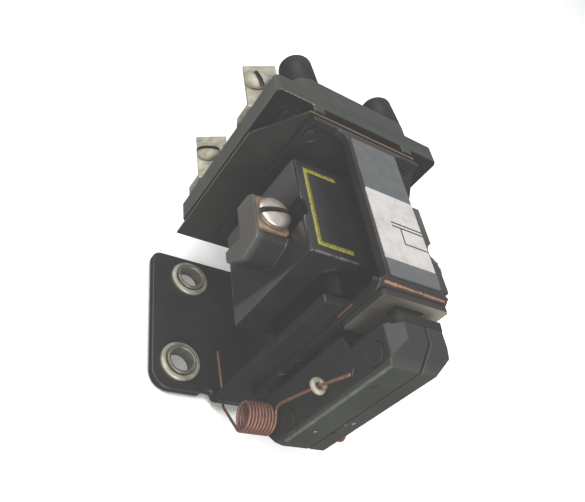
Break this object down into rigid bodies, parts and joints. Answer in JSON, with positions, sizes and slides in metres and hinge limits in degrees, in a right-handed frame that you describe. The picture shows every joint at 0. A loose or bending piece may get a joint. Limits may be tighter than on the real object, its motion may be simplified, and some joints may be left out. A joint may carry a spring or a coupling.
{
  "type": "clapper relay",
  "caption": "Open clapper relay on a steel mounting plate: potted coil in a strap yoke, moulded contact block with screw terminals above, hinged armature with a torsion return spring below.",
  "frame": {"origin": "middle of the mounting plate's back face, where the relay bears on its panel", "axes": "+X to the relay's right across the panel, +Y up the panel towards the contact block, +Z out of the panel"},
  "size_m": [0.0544, 0.0794, 0.056],
  "materials": {
    "black_enamel": "satin black enamel, worn bright on the edges",
    "brass": "dull brass",
    "nickel_plate": "warm nickel plate, a little tarnished",
    "lacquered_steel": "ground steel under brown lacquer",
    "bare_steel": "bare steel",
    "copper": "dull copper",
    "silver": "fine silver",
    "black_resin": "potting resin, black brown",
    "phenolic": "moulded phenolic, black with a grey bloom",
    "fibre": "cut fibre sheet, tan edge",
    "label_foil": "printed foil, blank"
  },
  "bodies": {
    "relay_base": {"mounting_plate": "black_enamel", "mounting_eyelets": "brass", "eyelet_washers": "nickel_plate", "yoke_frame": "black_enamel", "yoke_rivets": "black_enamel", "front_pole_plate": "lacquered_steel", "core": "lacquered_steel", "shading_ring": "copper", "coil_housing": "black_resin", "coil_winding": "copper", "coil_clip_left": "brass", "coil_clip_right": "brass", "coil_terminal_screws": "nickel_plate", "label_plate": "label_foil", "insulating_sheet": "fibre", "contact_base": "phenolic", "contact_cover": "phenolic", "post_left": "phenolic", "post_right": "phenolic", "post_screws": "bare_steel", "cover_screws": "bare_steel", "terminal_front_left": "nickel_plate", "terminal_front_right": "nickel_plate", "terminal_rear_left": "nickel_plate", "terminal_rear_right": "nickel_plate", "terminal_screws": "nickel_plate", "fixed_contact_tips": "silver", "hinge_bracket": "black_enamel", "bracket_rivets": "black_enamel", "hinge_pin": "bare_steel", "return_spring": "copper"},
    "armature": {"armature_plate": "lacquered_steel", "carrier_left": "phenolic", "carrier_right": "phenolic", "carrier_rivets": "phenolic", "spring_eye": "nickel_plate"},
    "contact_carrier": {"bridge_front": "brass", "bridge_rear": "brass", "moving_contact_tips": "silver", "contact_crossbar": "phenolic", "lifter_bar": "phenolic"}
  },
  "joints": [
    {"name": "armature_hinge", "type": "hinge", "parent": "relay_base", "child": "armature", "pos_m": [0, -0.0303, 0.0165], "axis": [-1, 0, 0], "range_deg": [0, 4], "stiffness_Nm_per_rad": 0.03, "springref_deg": -28.65, "deforming": ["return_spring"]},
    {"name": "contact_slide", "type": "slide", "parent": "relay_base", "child": "contact_carrier", "axis": [0, 1, 0], "range_m": [0, 0.00243]}
  ],
  "couplings": [
    {"joint": "contact_slide", "follows": "armature_hinge", "m_per_rad": 0.0347}
  ]
}
